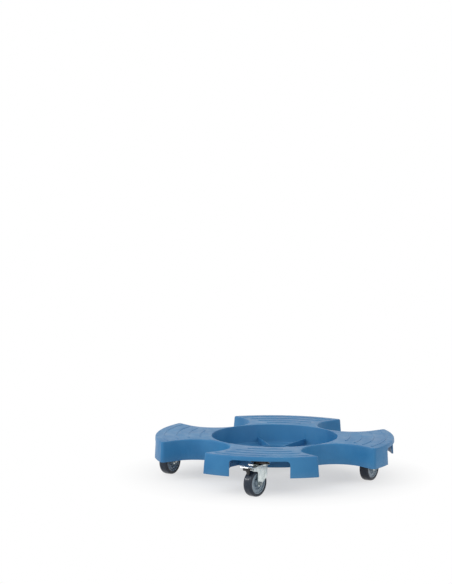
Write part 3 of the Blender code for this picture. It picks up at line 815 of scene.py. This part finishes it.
def makeSwivelRace():
    # an upper cup and a lower cup with the ball track's slot between them
    top = caster["plateTop"] - caster["plateThickness"] - caster["gap"]
    low, edge = caster["raceBottom"], caster["raceRadius"]
    hole, cup, slot = caster["kingPin"] + caster["gap"], edge - 0.0006, edge - 0.0020
    points = [
        (hole, top), (edge - 0.0022, top, 0.0006), (cup, top - 0.0016, 0.0004),
        (cup, top - 0.0022, 0.0002), (slot, top - 0.0024), (slot, top - 0.0029),
        (edge, top - 0.0031, 0.0002), (edge, low + 0.0008, 0.0004),
        (edge - 0.0012, low, 0.0003), (hole, low),
    ]
    return lathe(points, 72, True)


def makeKingPin():
    # its riveted head lies under the crown
    pin, top = caster["kingPin"], caster["plateTop"] + 0.003
    head = caster["crownTop"] - caster["crownThickness"] - caster["gap"]
    dimple = head - 0.0029
    points = [
        (0, top), (pin, top, 0.0008), (pin, head), (0.008, head, 0.0003),
        (0.0074, head - 0.0022, 0.0010), (0.0036, head - 0.0035, 0.0008), (0.0030, dimple),
        (0, dimple),
    ]
    return lathe(points, 48)


def makeScrew():
    top, shank, head = caster["screwTop"], caster["screwShank"], caster["screwHead"]
    under = caster["plateTop"] - caster["plateThickness"] - caster["gap"]
    bottom, slotHalf = under - caster["screwHeadHeight"], caster["screwSlot"]
    points = [
        (0, top), (0.0009, top, 0.0003), (shank, top - 0.0026), (shank, under),
        (head, under, 0.0002), (head, under - 0.0010, 0.0004), (0.0034, bottom, 0.0012),
        (0, bottom),
    ]
    cross = []
    for turn in (0, quarterTurn):
        slot = box((-shank, -slotHalf, under - 0.006), (shank, slotHalf, under - 0.0016))
        cross.append(("DIFFERENCE", turnedTo(slot, Matrix.Rotation(turn, 4, "Z"))))
    return shaped(lathe(points, 24), *cross)


def forkSide():
    # the leg's outline from the side, as (x, z, corner radius)
    tip, trail, axleHeight = caster["legTip"], caster["trail"], wheel["radius"]
    return [
        (caster["forkBack"], caster["crownTop"], 0.002),
        (caster["forkBack"], 0.0600, 0.006),
        (trail + 0.0018, axleHeight - tip, 0.003),
        (trail + tip, axleHeight - tip, 0.0045),
        (trail + tip + 0.0004, 0.0715, 0.004),
        (0.0565, 0.0748, 0.0015),
        (0.0635, 0.0782, 0.0015),
        (0.0630, 0.0834, 0.0020),
        (0.0240, caster["crownTop"], 0.008),
    ]


def forkPlan(back, half, bend, front):
    # a bent back and two legs that step out by the joggle
    (near, far), joggleBend = caster["joggleSpan"], caster["joggleBend"]
    inner = half - caster["joggleDepth"]
    leg = [(near, inner, joggleBend), (far, half, joggleBend), (front, half)]
    other = [(x, -y, *bends) for x, y, *bends in leg]
    return [(back, -inner, bend), *other, *leg[::-1], (back, inner, bend)]


def crossBore(radius, x, z, steps=32):
    # a cutter along Y through the fork
    bore = turnedTo(rod(radius + caster["fit"], -0.03, 0.03, steps), acrossAxle)
    return turnedTo(bore, Matrix.Translation((x, 0, z)))


def makeFork(braked):
    back, width, sheet = caster["forkBack"], caster["forkHalfWidth"], caster["sheet"]
    top, inside = caster["crownTop"], width - sheet
    crownUnder = top - caster["crownThickness"]
    outer = plate(forkPlan(back, width, -back, 0.07), 0.02, top + farPast, 10)
    inner = plate(forkPlan(back + sheet, inside, -back - sheet, 0.08), 0, crownUnder, 10)
    side = turnedTo(plate(forkSide(), -0.03, 0.03, 6), acrossAxle)
    roof = box(
        (caster["crownFront"], -inside, crownUnder - farPast), (0.09, inside, top + 2 * farPast)
    )
    room = wheel["halfWidth"] + wheel["sideRoom"]
    rear = box((-0.03, -room, 0), (farPast, room, caster["forkBackCut"]))
    disc = rod(caster["raceRadius"], crownUnder, top - caster["gap"] / 10, 64)
    kingHole = rod(caster["kingPin"] + caster["gap"], 0.08, 0.11)
    steps = [
        ("INTERSECT", side), ("DIFFERENCE", inner), ("DIFFERENCE", roof), ("DIFFERENCE", rear),
        ("UNION", disc), ("DIFFERENCE", kingHole),
        ("DIFFERENCE", crossBore(wheel["axleRadius"], caster["trail"], wheel["radius"])),
    ]
    if braked:
        pinHole = crossBore(brake["pinRadius"], brake["pinX"], brake["pinZ"], 20)
        steps.append(("DIFFERENCE", pinHole))
    bm = shaped(outer, *steps)
    flatWithin = math.radians(0.5)
    bmesh.ops.dissolve_limit(bm, angle_limit=flatWithin, verts=bm.verts[:], edges=bm.edges[:])
    return tidyMesh(bm)


def makeTread():
    half, radius = wheel["halfWidth"], wheel["radius"]
    inner = wheel["coreRadius"] + caster["gap"]
    upper = [
        (inner, half - 0.0006, 0.0002), (inner + 0.0014, half - 0.0004, 0.0004),
        (0.0324, half, 0.0008), (0.0362, half - 0.0016, 0.0018),
        (radius, half - 0.0060, 0.0034),
    ]
    lower = [(r, -z, bend) for r, z, bend in upper[::-1]]
    return lathe(upper + lower, wheel["steps"], True)


def makeWheelCore():
    # a hub, a deep recess, a raised ring, a groove and the outer lip
    hub, end, lip = wheel["hubRadius"], wheel["hubHalfLength"], wheel["coreHalfWidth"]
    recess, ring = wheel["recess"], wheel["ring"]
    upper = [
        (wheel["bushRadius"] + caster["gap"], end, 0.0002),
        (hub - 0.0010, end, 0.0003),
        (hub, end - 0.0010, 0.0003),
        (hub + 0.0010, recess, 0.0012),
        (0.0164, recess, 0.0010),
        (0.0176, ring, 0.0006),
        (0.0246, ring, 0.0005),
        (0.0254, 0.0072, 0.0004),
        (0.0262, lip, 0.0003),
        (0.0284, lip, 0.0003),
        (wheel["coreRadius"], lip - 0.0006, 0.0003),
    ]
    lower = [(r, -z, bend) for r, z, bend in upper[::-1]]
    return lathe(upper + lower, wheel["steps"], True)


def makeHubBush():
    end = caster["forkHalfWidth"] - caster["sheet"] - caster["gap"]
    inner, outer = wheel["axleRadius"] + caster["gap"], wheel["bushRadius"]
    points = [
        (inner, end, 0.0002), (outer, end, 0.0004), (outer, -end, 0.0004), (inner, -end, 0.0002),
    ]
    return lathe(points, 48, True)


def hexPrism(acrossFlats, low, high, chamferEnds):
    # a hexagon cut by a cone at its ends, as a nut or bolt head is
    radius = acrossFlats / math.sqrt(3)
    bm = turnedBy(rod(radius, low, high, 6), math.radians(30))
    corner, flat = radius + 0.0002, acrossFlats / 2 * 0.97
    drop = (corner - flat) * 0.55
    upper, lower = [(0, high), (corner, high)], [(corner, low), (0, low)]
    if "high" in chamferEnds:
        upper = [(0, high), (flat, high), (corner, high - drop)]
    if "low" in chamferEnds:
        lower = [(corner, low + drop), (flat, low), (0, low)]
    return shaped(bm, ("INTERSECT", lathe(upper + lower, 48)))


def makeAxleBolt():
    # a pointed end and one thread groove show past the nut, and the shank runs into the head
    under = -caster["forkHalfWidth"] - caster["gap"]
    end, radius = caster["forkHalfWidth"] + wheel["boltEnd"], wheel["axleRadius"]
    pitch, crest, groove = wheel["threadPitch"], radius - 0.0001, end - 0.0010
    points = [
        (0, end), (radius - pitch, end), (crest, end - pitch), (radius - 0.0005, groove),
        (crest, groove - pitch / 2), (radius, groove - pitch * 1.5), (radius, under - cutPast),
        (0, under - cutPast),
    ]
    head = hexPrism(wheel["nutAcross"], under - wheel["headHeight"], under, ("low",))
    return shaped(lathe(points, 40), ("UNION", head))


def makeAxleNut():
    low = caster["forkHalfWidth"] + caster["gap"]
    nut = hexPrism(wheel["nutAcross"], low, low + wheel["nutHeight"], ("low", "high"))
    hole = rod(wheel["axleRadius"] + caster["gap"], low - cutPast, low + farPast)
    return shaped(nut, ("DIFFERENCE", hole))


def bentStrip(path, thickness, halfWidth):
    # a pressed sheet: (x, z, corner radius) along its middle line, given width and thickness
    bm = wire(path, False)
    bmesh.ops.translate(bm, verts=bm.verts, vec=(0, -halfWidth, 0))
    wide = bmesh.ops.extrude_edge_only(bm, edges=bm.edges[:])
    fresh = [item for item in wide["geom"] if isinstance(item, bmesh.types.BMVert)]
    bmesh.ops.translate(bm, verts=fresh, vec=(0, 2 * halfWidth, 0))
    bmesh.ops.recalc_face_normals(bm, faces=bm.faces)
    sheet = asObject(bm, "sheet")
    modifier = sheet.modifiers.new("thickness", "SOLIDIFY")
    modifier.thickness = thickness
    modifier.offset = 0
    modifier.use_even_offset = True
    graph = bpy.context.evaluated_depsgraph_get()
    result = bmesh.new()
    result.from_mesh(sheet.evaluated_get(graph).to_mesh())
    sheet.evaluated_get(graph).to_mesh_clear()
    bpy.data.meshes.remove(sheet.data, do_unlink=True)
    return tidyMesh(result)


def knuckleTube(low, high):
    bore, knuckle = brake["pinRadius"] + brake["bore"], brake["knuckle"]
    points = [(bore, high), (knuckle, high, 0.0003), (knuckle, low, 0.0003), (bore, low)]
    return turnedTo(lathe(points, 32, True), acrossAxle)


def pinBore():
    return turnedTo(rod(brake["pinRadius"] + brake["bore"], -0.02, 0.02), acrossAxle)


def makePedal():
    # an upturned release tongue, a dip over the pin, and a foot plate with a lip
    half, tongue, neck = brake["pedalHalfWidth"], brake["tongueHalfWidth"], brake["tongueNeck"]
    start, end = brake["pedalEnds"]
    path = [
        (-0.0106, 0.0118), (-0.0098, 0.0080, 0.0012), (-0.0031, 0.0062, 0.003),
        (0.0006, 0.0050, 0.003), (0.0041, 0.0050, 0.002), (0.0086, 0.0076, 0.0018),
        (0.0126, 0.0062, 0.0018), (0.0171, 0.0087, 0.0014), (0.0192, 0.0076, 0.0012),
        (0.0194, 0.0058),
    ]
    lever = bentStrip(path, brake["pedalSheet"], half + 0.001)
    near = [(start, -tongue), (neck, -tongue, 0.001), (neck, -half, 0.001), (end, -half, 0.002)]
    far = [(x, -y, *bends) for x, y, *bends in near[::-1]]
    steps = [("INTERSECT", plate(near + far, -0.02, 0.02, 6))]
    inner, outer = brake["knuckleSpan"]
    for low, high in ((-outer, -inner), (inner, outer)):
        narrow = (low + brake["knuckleWeb"], high - brake["knuckleWeb"])
        web = box((-0.0010, narrow[0], 0.0010), (0.0030, narrow[1], 0.0051))
        steps += [("UNION", web), ("UNION", knuckleTube(-high, -low))]
    steps.append(("DIFFERENCE", pinBore()))
    return shaped(lever, *steps)


def makeShoe():
    # a moulded block under the foot plate, with a foot that meets the tread
    half, tab = brake["shoeHalfWidth"], brake["tabHalfWidth"]
    web = plate(
        [(-0.0030, -0.0010), (-0.0031, -0.0137, 0.0008), (0.0023, -0.0163, 0.0008),
         (0.0034, -0.0100, 0.004), (0.0080, -0.0030), (0.0080, 0.0030), (0.0020, 0.0030)],
        -half, half, 4,
    )
    low, high, near, far = -0.0038, 0.0048, 0.0070, 0.0130
    block = plate([(near, high), (near, low, 0.002), (far, low, 0.002), (far, high)], -tab, tab)
    roundEdges(block, sharpEdges(block, 60), brake["tabRound"], 2)
    webSides = sharpEdges(web, 60, lambda middle: abs(abs(middle.z) - half) < levelWithin)
    roundEdges(web, webSides, brake["shoeRound"], 2)
    knuckle = knuckleTube(-half - 0.0005, half + 0.0005)
    return shaped(
        turnedTo(web, acrossAxle), ("UNION", knuckle), ("UNION", turnedTo(block, acrossAxle)),
        ("DIFFERENCE", pinBore()),
    )


def makeBrakePin():
    end, radius = caster["forkHalfWidth"] + brake["pinEnd"], brake["pinRadius"]
    points = [(0, end), (radius, end, 0.0004), (radius, -end, 0.0004), (0, -end)]
    return turnedTo(lathe(points, 28), acrossAxle)


shapes = {
    "plate": makeCasterPlate(),
    "race": makeSwivelRace(),
    "kingPin": makeKingPin(),
    "screw": makeScrew(),
    "fork": makeFork(False),
    "brakedFork": makeFork(True),
    "tread": turnedTo(makeTread(), acrossAxle),
    "core": turnedTo(makeWheelCore(), acrossAxle),
    "bush": turnedTo(makeHubBush(), acrossAxle),
    "bolt": turnedTo(makeAxleBolt(), acrossAxle.inverted()),
    "nut": turnedTo(makeAxleNut(), acrossAxle.inverted()),
    "pedal": makePedal(),
    "shoe": makeShoe(),
    "pin": makeBrakePin(),
}
print("caster shapes:", {name: len(shape.faces) for name, shape in shapes.items()})


screwTurn = 0.7  # each screw's cross slot is turned this much further than the last


def placed(name, matrix):
    return turnedTo(shapes[name].copy(), matrix)


def middleOf(node):
    low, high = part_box(node)
    return (low + high) / 2


def addCaster(side):
    # the race gives the swivel's axis and the tread gives the wheel's centre
    race, hub = middleOf(f"{side}_caster_swivel_race"), middleOf(f"{side}_caster_tread")
    lobe = math.atan2(race.y, race.x) + quarterTurn
    trail = math.atan2(hub.y - race.y, hub.x - race.x)
    seat = Matrix.Translation((race.x, race.y, 0)) @ Matrix.Rotation(lobe, 4, "Z")
    swivel = Matrix.Translation((race.x, race.y, 0)) @ Matrix.Rotation(trail, 4, "Z")
    axle = swivel @ Matrix.Translation((caster["trail"], 0, wheel["radius"]))
    hinge = swivel @ Matrix.Translation((brake["pinX"], 0, brake["pinZ"]))
    braked = side in brakedSides

    def add(shape, where, name, body, node, material):
        addPiece(placed(shape, where), side + name, body, f"{side}_{node}", material)

    # the plate's and the race's dark colours paint the shade under the deck's band
    add("plate", seat, "CasterPlate", "trolley_deck", "caster_plate", shadedPlateZinc)
    add("race", seat, "CasterSwivelRace", "trolley_deck", "caster_swivel_race", shadedRaceSteel)
    add("kingPin", seat, "CasterKingPin", "trolley_deck", "caster_king_pin", zincFixings)
    number = 0
    for x in (-caster["screwOffset"], caster["screwOffset"]):
        for y in (-caster["screwOffset"], caster["screwOffset"]):
            number += 1
            turn = Matrix.Rotation(number * screwTurn, 4, "Z")
            spot, name = seat @ Matrix.Translation((x, y, 0)) @ turn, f"CasterScrew{number}"
            add("screw", spot, name, "trolley_deck", f"caster_screw_{number}", zincFixings)
    swivelBody, wheelBody, pedalBody = f"{side}_swivel", f"{side}_wheel", f"{side}_pedal"
    fork = "brakedFork" if braked else "fork"
    add(fork, swivel, "CasterFork", swivelBody, "caster_fork", zincSheet)
    add("bush", axle, "CasterHubBush", swivelBody, "caster_hub_bush", bushNylon)
    add("bolt", axle, "CasterAxleBolt", swivelBody, "caster_axle_bolt", axleZinc)
    add("nut", axle, "CasterAxleNut", swivelBody, "caster_axle_nut", axleZinc)
    add("tread", axle, "CasterTread", wheelBody, "caster_tread", treadRubber)
    add("core", axle, "CasterWheelCore", wheelBody, "caster_wheel_core", corePlastic)
    if braked:
        add("pedal", hinge, "BrakePedal", pedalBody, "brake_pedal", zincLever)
        # the shoe's near-black colour paints the shade under the foot plate
        add("shoe", hinge, "BrakeShoe", pedalBody, "brake_shoe", shoePaintedShade)
        add("pin", hinge, "BrakePin", swivelBody, "brake_pin", zincFixings)


for side in sides:
    addCaster(side)
for shape in shapes.values():
    shape.free()


studio = {
    "floorColour": (0.86, 0.86, 0.87),
    "floorShade": 0.99,  # the darker patches' share of that
    "floorPatches": (0.8, 2),
    "floorSize": 40,
    "floorRough": 0.9,
    "floorSpecular": 0.1,
    "whiteNear": 0.57,  # how much of the floor's white comes from the backdrop near the object
    "whiteFrom": 0.21,
    "whiteBy": 0.46,
    "skyLevel": 0.62,
    "keyPower": 95,
    "keyPlace": (-3.2, -3.6, 4.2),
    "keySize": 3.0,
    "fillPower": 26,
    "fillPlace": (4.0, -3.2, 2.2),
    "fillSize": 3.5,
    "sidePower": 32,
    "sidePlace": (-4.25, -1.33, 2.1),
    "sideSize": 0.8,
    "aim": (0, 0, 0.06),
}


def seenDirectly(nodes, links):
    # 1 for rays from the camera and for what metal or glass shows
    path = nodes.new("ShaderNodeLightPath")
    total = path.outputs["Is Camera Ray"]
    for name in ("Is Glossy Ray", "Is Transmission Ray"):
        larger = nodes.new("ShaderNodeMath")
        larger.operation = "MAXIMUM"
        links.new(total, larger.inputs[0])
        links.new(path.outputs[name], larger.inputs[1])
        total = larger.outputs[0]
    return total


def addFloor():
    bm = bmesh.new()
    bmesh.ops.create_grid(bm, x_segments=1, y_segments=1, size=studio["floorSize"])
    floor = asObject(bm, "floor")
    material, nodes, links, shader, place = nodeLook("paleFloor")
    patches = noise(nodes, links, place, *studio["floorPatches"])
    patches = ranged(nodes, links, patches, *shineSpan, 0.0, 1.0)
    tone = studio["floorColour"]
    dark = tuple(part * studio["floorShade"] for part in tone)
    links.new(mixed(nodes, links, patches, tone, dark), shader.inputs["Base Color"])
    shader.inputs["Roughness"].default_value = studio["floorRough"]
    shader.inputs["Specular IOR Level"].default_value = studio["floorSpecular"]
    # seen directly, the floor goes over into the white backdrop away from the object
    distance = nodes.new("ShaderNodeVectorMath")
    distance.operation = "LENGTH"
    links.new(place, distance.inputs[0])
    span = studio["whiteFrom"], studio["whiteBy"]
    white = ranged(nodes, links, distance.outputs["Value"], *span, studio["whiteNear"], 1.0)
    share = nodes.new("ShaderNodeMath")
    share.operation = "MULTIPLY"
    links.new(white, share.inputs[0])
    links.new(seenDirectly(nodes, links), share.inputs[1])
    backdrop = nodes.new("ShaderNodeEmission")
    mix = nodes.new("ShaderNodeMixShader")
    links.new(share.outputs[0], mix.inputs["Fac"])
    links.new(shader.outputs[0], mix.inputs[1])
    links.new(backdrop.outputs[0], mix.inputs[2])
    links.new(mix.outputs[0], nodes["Material Output"].inputs["Surface"])
    floor.data.materials.append(material)


def addWorld():
    world = bpy.data.worlds.new("studioSky")
    bpy.context.scene.world = world
    world.use_nodes = True
    nodes, links = world.node_tree.nodes, world.node_tree.links
    light = nodes["Background"]
    light.inputs["Color"].default_value = (1, 1, 1, 1)
    light.inputs["Strength"].default_value = studio["skyLevel"]
    white = nodes.new("ShaderNodeBackground")
    white.inputs["Color"].default_value = (1, 1, 1, 1)
    mix = nodes.new("ShaderNodeMixShader")
    links.new(seenDirectly(nodes, links), mix.inputs["Fac"])
    links.new(light.outputs[0], mix.inputs[1])
    links.new(white.outputs[0], mix.inputs[2])
    links.new(mix.outputs[0], nodes["World Output"].inputs["Surface"])


def addLamp(which):
    name, place = which + "Lamp", Vector(studio[which + "Place"])
    lamp = bpy.data.lights.new(name, "AREA")
    lamp.shape = "DISK"
    lamp.size = studio[which + "Size"]
    lamp.energy = studio[which + "Power"]
    obj = bpy.data.objects.new(name, lamp)
    obj.location = place
    obj.rotation_euler = (Vector(studio["aim"]) - place).to_track_quat("-Z", "Y").to_euler()
    bpy.context.scene.collection.objects.link(obj)


view = {
    "place": (1.0153, -8.1656, 1.6052),
    "heading": 8.0636,  # degrees left of +Y
    "down": 7.488,
    "roll": 0.297,
    "lens": 181.59,
    "sensor": 36,
    "clip": (0.1, 100),
}


def addCamera():
    camera = bpy.data.cameras.new("camera")
    camera.lens = view["lens"]
    camera.sensor_width = view["sensor"]
    camera.clip_start, camera.clip_end = view["clip"]
    obj = bpy.data.objects.new("camera", camera)
    aim = Matrix.Rotation(math.radians(view["heading"]), 4, "Z")
    aim = aim @ Matrix.Rotation(math.radians(90 - view["down"]), 4, "X")
    aim = aim @ Matrix.Rotation(math.radians(view["roll"]), 4, "Z")
    obj.matrix_world = Matrix.Translation(view["place"]) @ aim
    bpy.context.scene.collection.objects.link(obj)
    bpy.context.scene.camera = obj


addFloor()
addWorld()
for which in ("key", "fill", "side"):
    addLamp(which)
addCamera()
bpy.context.scene.view_settings.view_transform = "Standard"
print("studio ready")
